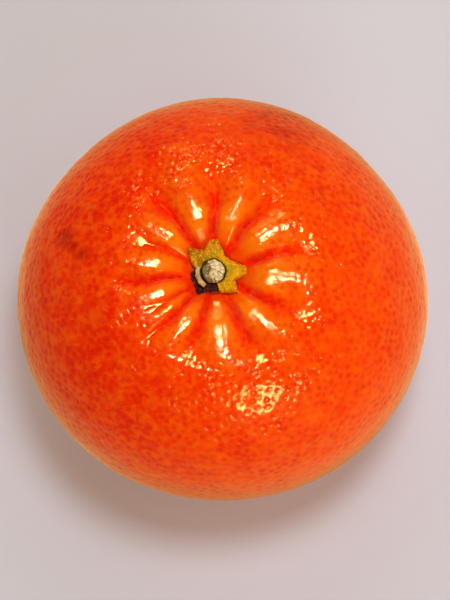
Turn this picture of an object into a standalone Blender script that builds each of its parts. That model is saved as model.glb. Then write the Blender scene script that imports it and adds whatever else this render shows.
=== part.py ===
"""A mandarin that stands on its blossom end, stem end up.

Metres, +Z up. The origin is on the surface that it rests on, under the middle of its outline.
Three solids: the fruit, the green calyx on its stem end, with four lobes left of five, and the stub of
the stem. The real ones are grown together, and here a gap parts them.
"""

import math

import bmesh
import bpy
import numpy as np

MM = 0.001

# Body of the fruit. The stem end faces +Z, and angles run anticlockwise from +X, seen from above.
HALF_WIDTH_X = 33.0 * MM
HALF_WIDTH_Y = 32.4 * MM
RISE_TO_STEM = 28.3 * MM
DROP_TO_BLOSSOM = 27.0 * MM
# 2 gives an ellipsoid, and more gives squarer shoulders.
SHOULDER_POWER = 2.2
# How far the stem end leans away from the middle, and the blossom end the other way.
STEM_LEAN_X = -1.8 * MM
STEM_LEAN_Y = -0.3 * MM
# Places where the outline swells or flattens: angle, breadth in degrees, height.
OUTLINE_SWELLS = (
    (40.0, 26.0, -0.6 * MM),
    (137.0, 26.0, -0.65 * MM),
    (232.0, 30.0, 0.4 * MM),
    (305.0, 24.0, 0.15 * MM),
)

# Hollow round the stem: a steep basin in a broad shallow saddle.
BASIN_DEPTH = 2.6 * MM
BASIN_FLOOR_RADIUS = 2.6 * MM
BASIN_EDGE_RADIUS = 8.5 * MM
SADDLE_DEPTH = 1.9 * MM
SADDLE_FLOOR_RADIUS = 5.0 * MM
SADDLE_EDGE_RADIUS = 18.0 * MM

# Furrows that pleat the peel round the stem, in order: angle, depth, how far out they reach.
FURROWS = (
    (15.0, 1.9 * MM, 21.0 * MM),
    (55.0, 2.3 * MM, 21.0 * MM),
    (90.5, 2.1 * MM, 21.0 * MM),
    (126.0, 2.2 * MM, 22.0 * MM),
    (156.0, 0.9 * MM, 17.0 * MM),
    (187.0, 1.9 * MM, 21.0 * MM),
    (213.0, 0.8 * MM, 13.0 * MM),
    (228.0, 1.6 * MM, 18.0 * MM),
    (256.0, 1.6 * MM, 18.0 * MM),
    (297.0, 2.2 * MM, 20.0 * MM),
    (331.0, 2.1 * MM, 20.0 * MM),
)
FURROW_START_RADIUS = 2.4 * MM
FURROW_FULL_RADIUS = 7.0 * MM
# Share of its reach from which a furrow grows shallower.
FURROW_FADES_FROM = 0.33
# At 2 the ribs are round in section. Above it they are fuller, and the furrows narrower.
RIB_FULLNESS = 3.5
FURROW_ROUNDING = 0.08
# From the first radius to the second, the furrows open from a narrow V to a wide soft wave.
FURROW_SOFTENS = (8.0 * MM, 14.0 * MM)
# How far a furrow wanders to each side of a straight line, in degrees, and how soon it turns back.
FURROW_WANDER = 2.5
FURROW_WANDER_LENGTH = 2.2 * MM

# Bed of the lobe that is gone: a small pocket in the hollow.
TORN_POCKET_ANGLE = 226.0
TORN_POCKET_RADIUS = 3.5 * MM
TORN_POCKET_BREADTH = 1.5 * MM
TORN_POCKET_DEPTH = 0.9 * MM

# Blossom end: the flat ring that it rests on, the dimple inside the ring, and the scar of the style.
FOOT_FLATTENING = 0.62 * MM
DIMPLE_RADIUS = 5.2 * MM
DIMPLE_HEIGHT = 1.4 * MM
SCAR_RADIUS = 1.5 * MM
SCAR_HEIGHT = 0.5 * MM

# Oil glands that pit the peel, at about twice their real spacing. They crowd at the stem, and a little
# at both ends.
GLAND_COUNT = 1900
GLAND_SEED = 7
GLAND_JITTER = 0.4
GLAND_RELAXATIONS = 4
CROWDING_AT_STEM = 0.28
CROWDING_AT_ENDS = 0.08
GLAND_DEPTH = 0.3 * MM
GLAND_FREE_BASIN = (5.5 * MM, 11.0 * MM)
GLAND_FREE_FOOT = (11.0 * MM, 15.0 * MM)

# Calyx, about the stem: each lobe that is left, as angle, reach, how many degrees it spreads clockwise and
# anticlockwise from its middle, and the share of that over which its tip is cut off straight.
CALYX_LOBES = (
    (-39.0, 4.75 * MM, 36.0, 27.0, 0.0),
    (1.0, 5.0 * MM, 27.0, 36.0, 0.2),
    (88.0, 4.95 * MM, 31.0, 40.0, 0.15),
    (138.0, 5.2 * MM, 36.0, 30.0, 0.0),
)
LOBE_SHARPNESS = 1.25
CALYX_CORE_RADIUS = 3.0 * MM
CALYX_HOLE_RADIUS = 2.0 * MM
CALYX_THICKNESS_AT_STEM = 1.1 * MM
CALYX_THICKNESS_AT_TIP = 0.65 * MM
# The ring round the stem is open between these two angles, where the fifth lobe tore away.
CALYX_GAP_FROM = 236.0
CALYX_GAP_TO = 287.0
# What the torn lobe left is a low dry rim, from this angle on to the gap.
TORN_RIM_FROM = 165.0
TORN_RIM_BLEND = 10.0
TORN_RIM_LOWERING = 0.3 * MM
CALYX_STATIONS = 96
CALYX_STEPS_ACROSS = 5

# Stub of the stem. Its flutes and the waves of its broken end are each: how many, height as a share of
# the radius or in metres, where they start.
STUB_RADIUS = 1.65 * MM
STUB_HEIGHT = 1.5 * MM
STUB_SIDES = 32
STUB_TOP_SLOPE = 0.1
STUB_FLUTES = ((5.0, 0.03, 0.0), (9.0, 0.02, 1.0))
STUB_BREAK = (3.0, 0.15 * MM, 0.7)
# Rings of the stub from its foot up and in over its broken end: share of the height, share of the radius.
STUB_RINGS = (
    (0.0, 0.97),
    (0.4, 1.0),
    (0.8, 1.0),
    (0.94, 0.97),
    (1.0, 0.88),
    (1.0, 0.6),
    (1.0, 0.3),
    (1.0, 0.1),
)

# Gap between solids that are grown together.
GROWN_GAP = 0.35 * MM

PEEL_COLOUR = (0.91, 0.17, 0.008, 1.0)
CALYX_COLOUR = (0.55, 0.30, 0.02, 1.0)
DRY_WOOD_COLOUR = (0.62, 0.48, 0.22, 1.0)


def smooth_step(value, low, high):
    """0 up to low, 1 from high, and a smooth rise between them."""
    share = np.clip((value - low) / (high - low), 0.0, 1.0)
    return share * share * (3.0 - 2.0 * share)


def angle_between(angle, other):
    """The angle from other to angle in radians, from -pi to pi."""
    return (angle - other + math.pi) % (2.0 * math.pi) - math.pi


def outline_swell(angle):
    """How much the outline stands out at an angle about the fruit's axis."""
    swell = np.zeros_like(angle)
    for centre, breadth, height in OUTLINE_SWELLS:
        off = angle_between(angle, math.radians(centre)) / math.radians(breadth)
        swell += height * np.exp(-off * off)
    return swell


def hollow(radius):
    """Height of the hollow above the plain shoulder, without furrows."""
    basin = BASIN_DEPTH * (1.0 - smooth_step(radius, BASIN_FLOOR_RADIUS, BASIN_EDGE_RADIUS))
    return -basin - SADDLE_DEPTH * (1.0 - smooth_step(radius, SADDLE_FLOOR_RADIUS, SADDLE_EDGE_RADIUS))


def furrow_depth(radius, angle):
    """How far the pleated peel lies below the crests of its ribs, at a point beside the stem."""
    centre, depth, reach = np.array(FURROWS + FURROWS[:1]).T
    starts = np.radians(centre - centre[0])
    starts[-1] = 2.0 * math.pi
    wander = math.radians(FURROW_WANDER) * smooth_step(radius, FURROW_START_RADIUS, FURROW_SOFTENS[1])
    angle = angle + wander * np.sin(radius / FURROW_WANDER_LENGTH + 2.0 * angle)
    turned = (angle - math.radians(centre[0])) % (2.0 * math.pi)
    before = np.clip(np.searchsorted(starts, turned, side="right") - 1, 0, len(FURROWS) - 1)
    share = (turned - starts[before]) / (starts[before + 1] - starts[before])
    rib = 1.0 - np.abs(1.0 - 2.0 * share) ** RIB_FULLNESS
    narrow = 1.0 + FURROW_ROUNDING - np.hypot(rib, FURROW_ROUNDING)
    wide = 0.5 + 0.5 * np.cos(2.0 * math.pi * share)
    valley = narrow + (wide - narrow) * smooth_step(radius, *FURROW_SOFTENS)
    deepest = depth[before] + (depth[before + 1] - depth[before]) * share
    furthest = reach[before] + (reach[before + 1] - reach[before]) * share
    begins = smooth_step(radius, FURROW_START_RADIUS, FURROW_FULL_RADIUS)
    fades = 1.0 - smooth_step(radius, FURROW_FADES_FROM * furthest, furthest)
    return deepest * valley * begins * fades


def torn_pocket(radius, angle):
    """Depth of the pocket that the torn lobe has left."""
    turned = angle_between(angle, math.radians(TORN_POCKET_ANGLE))
    across = radius * np.sin(turned)
    along = radius * np.cos(turned) - TORN_POCKET_RADIUS
    return TORN_POCKET_DEPTH * np.exp(-(across**2 + along**2) / TORN_POCKET_BREADTH**2)


def half_width_at(angle):
    """Distance from the fruit's axis to its side at an angle."""
    across = np.hypot(HALF_WIDTH_Y * np.cos(angle), HALF_WIDTH_X * np.sin(angle))
    return HALF_WIDTH_X * HALF_WIDTH_Y / across + outline_swell(angle)


def leaned(points):
    """Points moved sideways with their height, as the fruit's axis leans."""
    share = points[:, 2:] / RISE_TO_STEM
    return points + share * np.array([[STEM_LEAN_X, STEM_LEAN_Y, 0.0]])


def peel_points(directions):
    """Where the peel lies in each direction from the fruit's middle."""
    level = np.hypot(directions[:, 0], directions[:, 1])
    upward = directions[:, 2]
    angle = np.arctan2(directions[:, 1], directions[:, 0])
    half_height = np.where(upward > 0.0, RISE_TO_STEM, DROP_TO_BLOSSOM)
    inverse = (level / half_width_at(angle)) ** SHOULDER_POWER
    inverse += (np.abs(upward) / half_height) ** SHOULDER_POWER
    points = directions * (inverse ** (-1.0 / SHOULDER_POWER))[:, None]
    radius = np.hypot(points[:, 0], points[:, 1])
    stem_end = hollow(radius) - furrow_depth(radius, angle) - torn_pocket(radius, angle)
    points[:, 2] += np.where(upward > 0.0, stem_end, 0.0)
    foot = -DROP_TO_BLOSSOM + FOOT_FLATTENING
    dimple = DIMPLE_HEIGHT * (1.0 - smooth_step(radius, 0.0, DIMPLE_RADIUS))
    scar = SCAR_HEIGHT * (1.0 - smooth_step(radius, 0.0, SCAR_RADIUS))
    blossom_end = np.maximum(points[:, 2], foot) + dimple - scar
    points[:, 2] = np.where(upward > 0.0, points[:, 2], blossom_end)
    return leaned(points)


def bed_height(radius, angle):
    """Height over the fruit's middle of the surface that the calyx and the stub lie on."""
    share = (radius / half_width_at(angle)) ** SHOULDER_POWER
    shoulder = RISE_TO_STEM * (1.0 - share) ** (1.0 / SHOULDER_POWER)
    return shoulder + hollow(radius) + GROWN_GAP


def unit(vectors):
    """Vectors brought to length 1."""
    return vectors / np.linalg.norm(vectors, axis=1)[:, None]


def hull_triangles(directions):
    """Triangles, facing out, that join each direction to its neighbours on the sphere."""
    sphere = bmesh.new()
    for direction in directions:
        sphere.verts.new(direction)
    sphere.verts.index_update()
    bmesh.ops.convex_hull(sphere, input=list(sphere.verts))
    triangles = np.array([[vertex.index for vertex in face.verts] for face in sphere.faces])
    sphere.free()
    a, b, c = (directions[triangles[:, corner]] for corner in range(3))
    faces_in = np.einsum("ij,ij->i", np.cross(b - a, c - a), a) < 0.0
    triangles[faces_in] = triangles[faces_in][:, ::-1]
    return triangles


def gland_directions():
    """Directions of the oil glands: a spiral that is shaken, then eased apart."""
    numbers = np.arange(GLAND_COUNT) + 0.5
    upward = 1.0 - 2.0 * numbers / GLAND_COUNT
    golden_angle = math.pi * (3.0 - math.sqrt(5.0))
    level = np.sqrt(1.0 - upward * upward)
    turn = golden_angle * numbers
    directions = np.stack([level * np.cos(turn), level * np.sin(turn), upward], axis=1)
    spacing = math.sqrt(4.0 * math.pi / GLAND_COUNT)
    shake = np.random.default_rng(GLAND_SEED).normal(0.0, GLAND_JITTER * spacing, directions.shape)
    directions = unit(directions + shake)
    for _ in range(GLAND_RELAXATIONS):
        triangles = hull_triangles(directions)
        middles = directions[triangles].mean(axis=1)
        total = directions.copy()
        for corner in range(3):
            np.add.at(total, triangles[:, corner], middles)
        directions = unit(total)
    return directions


def crowded_towards_stem(directions):
    """Directions drawn together at the stem end, where glands are smaller and ribs need finer faces."""
    from_stem = np.arccos(np.clip(directions[:, 2], -1.0, 1.0))
    nearer = from_stem - CROWDING_AT_STEM * np.sin(from_stem) - CROWDING_AT_ENDS * np.sin(2.0 * from_stem)
    angle = np.arctan2(directions[:, 1], directions[:, 0])
    level = np.sin(nearer)
    return np.stack([level * np.cos(angle), level * np.sin(angle), np.cos(nearer)], axis=1)


def gland_strength(points):
    """1 where glands pit the peel fully, and 0 in the hollow and on the foot."""
    radius = np.hypot(points[:, 0], points[:, 1])
    in_hollow = smooth_step(radius, *GLAND_FREE_BASIN)
    on_foot = smooth_step(radius, *GLAND_FREE_FOOT)
    return np.where(points[:, 2] > 0.0, in_hollow, on_foot)


def material(name, colour, roughness):
    """A Principled material."""
    made = bpy.data.materials.new(name)
    made.use_nodes = True
    shader = made.node_tree.nodes["Principled BSDF"]
    shader.inputs["Base Color"].default_value = colour
    shader.inputs["Roughness"].default_value = roughness
    shader.inputs["Metallic"].default_value = 0.0
    return made


def add_solid(name, points, faces, finish, parent):
    """A closed mesh as one named object."""
    mesh = bpy.data.meshes.new(name)
    mesh.from_pydata([tuple(point) for point in points], [], [tuple(face) for face in faces])
    mesh.materials.append(finish)
    mesh.shade_smooth()
    mesh.update()
    solid = bpy.data.objects.new(name, mesh)
    bpy.context.scene.collection.objects.link(solid)
    solid.parent = parent
    return solid


def add_fruit(parent, finish):
    """The fruit: a cell of peel round each gland, its middle a pit and its corners between the glands."""
    glands = gland_directions()
    triangles = hull_triangles(glands)
    corners = unit(glands[triangles].mean(axis=1))
    points = peel_points(crowded_towards_stem(np.vstack([glands, corners])))
    middle = points[:GLAND_COUNT]
    inward = -unit(middle)
    middle += inward * GLAND_DEPTH * gland_strength(middle)[:, None]
    left_of = {}
    for number, (a, b, c) in enumerate(triangles.tolist()):
        left_of[a, b] = left_of[b, c] = left_of[c, a] = number
    faces = [
        (a, GLAND_COUNT + left_of[b, a], GLAND_COUNT + left)
        for (a, b), left in left_of.items()
    ]
    return add_solid("fruit", points, faces, finish, parent)


def calyx_reach(angle):
    """How far the calyx reaches from the stem's axis at an angle."""
    reach = np.full_like(angle, CALYX_CORE_RADIUS)
    for centre, tip, clockwise, anticlockwise, flat in CALYX_LOBES:
        off = angle_between(angle, math.radians(centre))
        share = np.abs(off) / np.radians(np.where(off < 0.0, clockwise, anticlockwise))
        lobe = np.clip((1.0 - share) / (1.0 - flat), 0.0, 1.0) ** LOBE_SHARPNESS
        reach = np.maximum(reach, CALYX_CORE_RADIUS + (tip - CALYX_CORE_RADIUS) * lobe)
    return reach


def section(angle, radii, lower, upper):
    """A closed loop, upright at an angle about the axis: outwards along lower, and back along upper."""
    out = [(radius, height) for radius, height in zip(radii, lower)]
    back = [(radius, height) for radius, height in zip(radii, upper)]
    return [
        (radius * math.cos(angle), radius * math.sin(angle), height)
        for radius, height in out + back[::-1]
    ]


def loft(name, loops, finish, parent):
    """A solid through closed loops with the same number of points, its ends capped."""
    size = len(loops[0])
    points = [point for loop in loops for point in loop]
    faces = [tuple(range(size))[::-1]]
    for row in range(len(loops) - 1):
        for step in range(size):
            following = (step + 1) % size
            near, far = row * size, (row + 1) * size
            faces.append((near + step, near + following, far + following, far + step))
    last = (len(loops) - 1) * size
    faces.append(tuple(range(last, last + size)))
    solid = add_solid(name, leaned(np.array(points)), faces, finish, parent)
    shell = bmesh.new()
    shell.from_mesh(solid.data)
    bmesh.ops.recalc_face_normals(shell, faces=shell.faces)
    shell.to_mesh(solid.data)
    shell.free()
    return solid


def calyx_thickness(radii, angle):
    """Thickness of the calyx, which thins towards the tips of its lobes and is lower where it is torn."""
    longest = max(lobe[1] for lobe in CALYX_LOBES)
    off_stem = (radii - CALYX_HOLE_RADIUS) / (longest - CALYX_HOLE_RADIUS)
    thinning = (CALYX_THICKNESS_AT_STEM - CALYX_THICKNESS_AT_TIP) * np.sqrt(off_stem)
    turned = math.degrees(angle) % 360.0
    torn = smooth_step(turned, TORN_RIM_FROM, TORN_RIM_FROM + TORN_RIM_BLEND)
    torn *= turned <= CALYX_GAP_FROM
    return CALYX_THICKNESS_AT_STEM - thinning - TORN_RIM_LOWERING * torn


def add_calyx(parent, finish):
    """The calyx: a star round the stem, open in the gap that a torn lobe has left."""
    turn = CALYX_GAP_FROM + 360.0 - CALYX_GAP_TO
    loops = []
    for station in range(CALYX_STATIONS + 1):
        angle = math.radians(CALYX_GAP_TO + turn * station / CALYX_STATIONS)
        reach = calyx_reach(np.array([angle]))[0]
        radii = np.linspace(CALYX_HOLE_RADIUS, reach, CALYX_STEPS_ACROSS + 1)
        lower = bed_height(radii, np.full_like(radii, angle))
        loops.append(section(angle, radii, lower, lower + calyx_thickness(radii, angle)))
    return loft("calyx", loops, finish, parent)


def add_stub(parent, finish):
    """The stub: a short round stem, fluted by its fibres, with a sloped and broken end."""
    around = np.arange(STUB_SIDES) * 2.0 * math.pi / STUB_SIDES
    bed = float(bed_height(np.array([0.0]), np.array([0.0]))[0])
    flutes = sum(height * np.sin(count * around + start) for count, height, start in STUB_FLUTES)
    waves, wave_height, wave_start = STUB_BREAK
    loops = []
    for rise, share in STUB_RINGS:
        radius = STUB_RADIUS * share * (1.0 + flutes)
        x, y = radius * np.cos(around), radius * np.sin(around)
        height = bed + rise * (STUB_HEIGHT + STUB_TOP_SLOPE * (x + y))
        if rise == 1.0:
            height = height + wave_height * np.sin(waves * around + wave_start) * share
        loops.append(list(zip(x, y, height)))
    return loft("stem_stub", loops, finish, parent)


def stand_on_origin(base, fruit):
    """Moves the empty, and so the pieces, to rest on z = 0 with the middle of the outline at 0, 0."""
    corners = np.array([vertex.co for vertex in fruit.data.vertices])
    low, high = corners.min(axis=0), corners.max(axis=0)
    base.location = (-0.5 * (low[0] + high[0]), -0.5 * (low[1] + high[1]), -low[2])


def main():
    for old in list(bpy.data.objects):
        bpy.data.objects.remove(old)
    base = bpy.data.objects.new("mandarin", None)
    bpy.context.scene.collection.objects.link(base)
    fruit = add_fruit(base, material("Peel", PEEL_COLOUR, 0.35))
    add_calyx(base, material("Calyx", CALYX_COLOUR, 0.6))
    add_stub(base, material("Dry wood", DRY_WOOD_COLOUR, 0.8))
    stand_on_origin(base, fruit)


main()
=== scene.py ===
"""Mandarin: the finished fruit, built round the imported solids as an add-on's operators.

The peel is a net between oil glands that Geometry Nodes scatter on a sphere, shaped by the same values as
the solid and then pitted. The calyx and the stub of the stem are lofted from the values of their solids.
"""

import math

import bmesh
import bpy
import numpy as np
from bpy.props import FloatProperty, FloatVectorProperty, IntProperty, PointerProperty
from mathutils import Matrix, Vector, kdtree, noise


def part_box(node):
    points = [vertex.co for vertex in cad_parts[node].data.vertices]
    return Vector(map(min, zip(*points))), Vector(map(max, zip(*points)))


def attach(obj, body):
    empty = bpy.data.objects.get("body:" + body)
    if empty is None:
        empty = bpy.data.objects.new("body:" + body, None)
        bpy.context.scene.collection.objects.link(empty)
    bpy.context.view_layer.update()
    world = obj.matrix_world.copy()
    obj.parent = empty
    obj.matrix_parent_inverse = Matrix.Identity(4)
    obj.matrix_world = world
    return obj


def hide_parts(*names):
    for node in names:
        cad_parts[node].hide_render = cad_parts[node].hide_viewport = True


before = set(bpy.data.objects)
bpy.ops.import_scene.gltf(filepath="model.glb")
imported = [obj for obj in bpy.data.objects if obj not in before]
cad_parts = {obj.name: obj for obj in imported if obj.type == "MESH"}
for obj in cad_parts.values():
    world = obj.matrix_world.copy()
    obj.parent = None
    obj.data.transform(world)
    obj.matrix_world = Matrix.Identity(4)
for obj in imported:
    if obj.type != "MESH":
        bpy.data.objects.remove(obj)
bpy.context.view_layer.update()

bl_info = {
    "name": "Mandarin",
    "version": (1, 0, 0),
    "blender": (4, 5, 0),
    "location": "View3D > Sidebar > Mandarin",
    "description": "Builds a mandarin with pitted peel, a torn calyx and a stub of stem",
    "category": "Add Mesh",
}

MM = 0.001

# Body of the fruit, as in the solid. Angles run anticlockwise from +X, seen from above.
HALF_WIDTH_X = 33.0 * MM
HALF_WIDTH_Y = 32.4 * MM
RISE_TO_STEM = 28.3 * MM
DROP_TO_BLOSSOM = 27.0 * MM
SHOULDER_POWER = 2.2
STEM_LEAN = (-1.8 * MM, -0.3 * MM, 0.0)
# Swells of its outline: angle, breadth in degrees, height.
OUTLINE_SWELLS = (
    (40.0, 26.0, -0.6 * MM),
    (137.0, 26.0, -0.65 * MM),
    (232.0, 30.0, 0.4 * MM),
    (305.0, 24.0, 0.15 * MM),
)
# Directions tried to find its middle: how many round it, and the least, most and number of their rises.
OUTLINE_TRIES = 2880
OUTLINE_RISES = (-0.1, 0.1, 41)

# Hollow round the stem, a narrow basin in a wide one: depth, and the radii where floor and side end.
BASINS = ((2.6 * MM, 2.6 * MM, 8.5 * MM), (1.9 * MM, 5.0 * MM, 18.0 * MM))
# Furrows that pleat it: angle, depth in millimetres, how far out they reach in millimetres.
FURROWS = (
    (15.0, 1.9, 21.0),
    (55.0, 2.3, 21.0),
    (90.5, 2.1, 21.0),
    (126.0, 2.2, 22.0),
    (156.0, 0.9, 17.0),
    (187.0, 1.9, 21.0),
    (213.0, 0.8, 13.0),
    (228.0, 1.6, 18.0),
    (256.0, 1.6, 18.0),
    (297.0, 2.2, 20.0),
    (331.0, 2.1, 20.0),
)
# Distances from the axis where they start, are full, and get softer, and the share of their reach where
# they begin to fade.
FURROW_START = 2.4 * MM
FURROW_FULL = 7.0 * MM
FURROW_SOFTENS = (8.0 * MM, 14.0 * MM)
FURROW_FADES_FROM = 0.33
RIB_FULLNESS = 3.5
FURROW_ROUNDING = 0.08
# How far a furrow wanders to each side of a straight line, in degrees, and how soon it turns back.
FURROW_WANDER = 2.5
FURROW_WANDER_LENGTH = 2.2 * MM
RIBS_TURN_ORANGE = (3.2 * MM, 7.5 * MM)
# Redder line along the bottom of a furrow, its own colour and partly painted shade: half of its width, how
# much wider it gets outwards, over what distance from the furrow's start it sets in, and the depth of a
# furrow whose line is full.
FURROW_LINE = 0.3 * MM
FURROW_LINE_SPREAD = 0.085
FURROW_LINE_SETS_IN = 1.5 * MM
FURROW_DEEPEST = 2.3 * MM

# Bed of the calyx lobe that is gone: angle and distance from the axis, breadth and depth.
TORN_POCKET = (226.0, 3.5 * MM, 1.5 * MM, 0.9 * MM)

# Blossom end: the flat ring that the fruit rests on, the dimple in it and the scar of the style as bowls
# like the basins, and the radii over which the scar's colour fades.
FOOT_FLATTENING = 0.62 * MM
DIMPLE = (1.4 * MM, 0.0, 5.2 * MM)
SCAR = (0.5 * MM, 0.0, 1.5 * MM)
SCAR_FADES = (0.8 * MM, 1.5 * MM)

# How glands crowd at the stem, how far from its axis they begin to show, and the radii between which the
# smooth peel round the stem and under the foot gets pitted or rippled.
CROWDING_AT_STEM = 0.14
CROWDING_AT_ENDS = -0.01
GLANDS_SEEN = (3.5 * MM, 10.0 * MM)
GLAND_FREE_BASIN = (9.0 * MM, 19.0 * MM)
RIPPLE_FREE_BASIN = (9.0 * MM, 18.0 * MM)
GLAND_FREE_FOOT = (5.0 * MM, 12.0 * MM)
# Ripples: how wide one is, and the value of its noise that leaves the surface where it is.
RIPPLE_WIDTH = 4.5 * MM
RIPPLE_LEVEL = 0.68
# Radius of a pit in spacings of the glands. Then the least of a gland and what its draw adds to that: the
# width of its dot, the depth of its pit, and the height of its wall, with the power of the draw.
PIT_RADIUS = 0.6
GLAND_WIDTH = (0.7, 0.6)
PIT_DEPTH = (0.3, 0.7)
GLAND_WALL = (0.25, 3.5)
GLAND_WALL_POWER = 6
# How far the edge of a dot frays, in its widths.
GLAND_FRAYING = 1.2
# Ring where the furrows run out and the peel crinkles: where it begins, is full, fades and ends.
PLEAT_ENDS = (9.5 * MM, 12.0 * MM, 14.5 * MM, 18.0 * MM)
# Height over the fruit's middle below which the peel is smoother and painted paler, a painted glow for the
# light at the rim, and above which it isn't.
SIDE_HEIGHTS = (-4.0 * MM, 23.0 * MM)
SIDE_SMOOTHING = 0.5
# Glands have steeper walls towards the top, from the first height over the middle to the second.
STEEP_GLAND_HEIGHTS = (15.0 * MM, 24.0 * MM)
# How finely the sphere is cut that the glands are scattered on, the points tried for each of them, and the
# points that then cut each edge of the net, so that each of its triangles becomes sixteen.
SPHERE_SUBDIVISIONS = 6
POINTS_TRIED_PER_GLAND = 12.0
NET_CUTS = 3

# Fine creases that run along the ribs: how many round the stem, height, where they start. The twist is in
# radians to a millimetre outwards.
CREASES = ((37.0, 0.018 * MM, 0.3), (61.0, 0.016 * MM, 1.9), (89.0, 0.01 * MM, 4.1))
CREASE_TWIST = 0.6
CREASE_ZONE = (3.5 * MM, 7.0 * MM, 10.0 * MM, 17.0 * MM)

# Calyx: each lobe that is left, as angle, reach, how many degrees it spreads clockwise and anticlockwise
# from its middle, and the share of that over which its tip is cut off straight.
CALYX_LOBES = (
    (-39.0, 4.75 * MM, 36.0, 27.0, 0.0),
    (1.0, 5.0 * MM, 27.0, 36.0, 0.2),
    (88.0, 4.95 * MM, 31.0, 40.0, 0.15),
    (138.0, 5.2 * MM, 36.0, 30.0, 0.0),
)
# How far out from the calyx's edge the shadow painted on the peel reaches, and between which distances from
# the stem's axis that painted shadow runs out towards the tips.
CALYX_PAINTED_SHADOW = 0.6 * MM
NOTCHES = (3.4 * MM, 5.2 * MM)
# Bed of the lobe that tore away, drawn like the lobes.
TORN_BED = ((198.0, 3.55 * MM, 40.0, 60.0, 0.4), (230.0, 4.1 * MM, 26.0, 20.0, 0.0))
# How many millimetres inside its edge its finish changes.
TORN_FINISH_FROM = 0.1
# How far each lobe of the calyx has browned, and the breadth in degrees that it browns over.
LOBE_BROWNING = (0.1, 0.0, 0.4, 1.0)
LOBE_BROWNING_BREADTH = 26.0
LOBE_SHARPNESS = 1.25
CALYX_CORE_RADIUS = 3.0 * MM
CALYX_HOLE_RADIUS = 1.8 * MM
CALYX_THICKNESS = (1.1 * MM, 0.65 * MM)
CALYX_GAP = (236.0, 287.0)
TORN_RIM_BEGINS = (157.0, 167.0)
TORN_RIM_LOWERING = 0.3 * MM
TORN_RIM_SHRINKS = 0.25 * MM
TORN_RIM_OFF_STEM = 0.25 * MM
CALYX_STATIONS = 320
CALYX_STEPS_ACROSS = 16
# How the calyx is rounded across, and how high its outer edge and the edge of its hole are, in thicknesses.
CALYX_ROUNDING_POWER = 7
CALYX_EDGE_HEIGHT = 0.35
CALYX_HOLE_EDGE_HEIGHT = 0.72
# Shares of the way out from its hole over which its edge and its inner wall are marked.
CALYX_EDGE_ZONE = (0.55, 1.0)
CALYX_INNER_ZONE = (0.0, 0.6)
MIDRIB_BREADTH = 0.35 * MM
MIDRIB_HEIGHT = 0.1 * MM
MIDRIB_BEGINS = (2.6 * MM, 3.4 * MM)
# Random bumps: how wide and how high.
CALYX_WOBBLES = ((0.9 * MM, 0.2 * MM), (0.4 * MM, 0.11 * MM))
# Gap that the solids leave between pieces that grow into each other, how far the finished calyx follows the
# pleats under it, and how deep it is sunk into the peel.
GROWN_GAP = 0.35 * MM
LOBE_DRAPE = 0.5
SUNK_EDGE = 0.1 * MM
# What bites into the torn rim and the lobes' edges: how deep, how often, the draw, and the share of it by
# which the lobes get thicker.
RAGGED_HEIGHT = 0.16 * MM
RAGGED_TURNS = 6.0
RAGGED_DRAW = 0.3
RAGGED_UPWARDS = 0.5

# Stub of the stem.
STUB_RADIUS = 1.65 * MM
STUB_HEIGHT = 1.5 * MM
STUB_SIDES = 128
STUB_SIDE_RINGS = 8
STUB_TOP_RINGS = 30
STUB_TOP_SLOPE = 0.1
# Share of the height where the shoulder begins, the share of the radius that it rounds off, the angles of its
# rings, and from which share of the radius to which the rings of the broken end run.
STUB_SHOULDER = 0.86
STUB_ROUNDED_OFF = 0.1
STUB_SHOULDER_TURNS = (0.5, 1.0, 1.4)
STUB_TOP_SHARES = (0.88, 0.02)
# Shares of the height between which cracks and the chip set in, and then its random bumps.
STUB_BREAK_BEGINS = (0.3, 0.9)
STUB_WOBBLES_BEGIN = (0.5, 0.9)
STUB_WOBBLES = ((0.8 * MM, 0.3 * MM), (0.25 * MM, 0.08 * MM))
STUB_FLUTES = ((5.0, 0.03, 0.0), (9.0, 0.02, 1.0))
# Cracks in its broken end: angle, how far from the middle they start and end as shares of the radius,
# half of their width, depth.
STUB_CRACKS = (
    (-84.0, 0.6, 1.15, 0.1 * MM, 0.6 * MM),
    (-58.0, 0.5, 0.9, 0.03 * MM, 0.2 * MM),
    (-36.0, 0.35, 1.0, 0.04 * MM, 0.25 * MM),
    (-18.0, 0.45, 1.15, 0.045 * MM, 0.3 * MM),
    (8.0, 0.65, 1.1, 0.03 * MM, 0.2 * MM),
    (52.0, 0.2, 0.7, 0.025 * MM, 0.15 * MM),
    (96.0, 0.6, 1.1, 0.03 * MM, 0.2 * MM),
)
# Over what shares of the radius a crack begins and ends, how far it swings to each side, and how often.
STUB_CRACK_FADES = (0.12, 0.1)
STUB_CRACK_BEND = 0.12 * MM
STUB_CRACK_TURNS = 7.0
# Side of the stub that has split off lower: angle, how far from the middle it starts and is full, depth, and
# how far and how often its edge swings.
STUB_CHIP_ANGLE = 188.0
STUB_CHIP = (0.25 * MM, 0.75 * MM)
STUB_CHIP_DEPTH = 0.5 * MM
STUB_CHIP_BEND = 0.2 * MM
STUB_CHIP_TURNS = 5.0

# Marks on the peel: place on the fruit in millimetres seen from above, and radius in millimetres. From the
# higher of two heights over the fruit's middle to the lower, a mark fades as if it got this many radii away.
BLEMISHES = {
    "bruise": ((-24.1, 5.9, 1.4), (-22.8, 4.2, 0.9), (-21.4, 2.8, 1.0)),
    "blush": ((9.6, 27.0, 6.0),),
    "ring": ((15.6, -27.0, 0.6),),
}
BLEMISHES_RUN_OUT = (2.0 * MM, 14.0 * MM)
BLEMISHES_END = 2.0
# Small dents at the end of a furrow: place as above, radius and depth, all in millimetres.
DENTS = (
    (-13.7, -2.1, 1.2, 0.36),
    (-16.5, 1.2, 0.5, 0.24),
    (-15.9, -2.2, 0.45, 0.16),
    (-14.9, -3.8, 0.4, 0.12),
)

# Lowest place where the peel's relief may press it: on the floor, and far to each side.
FLOOR_CORNER = (-1.0, -1.0, 0.0)

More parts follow.
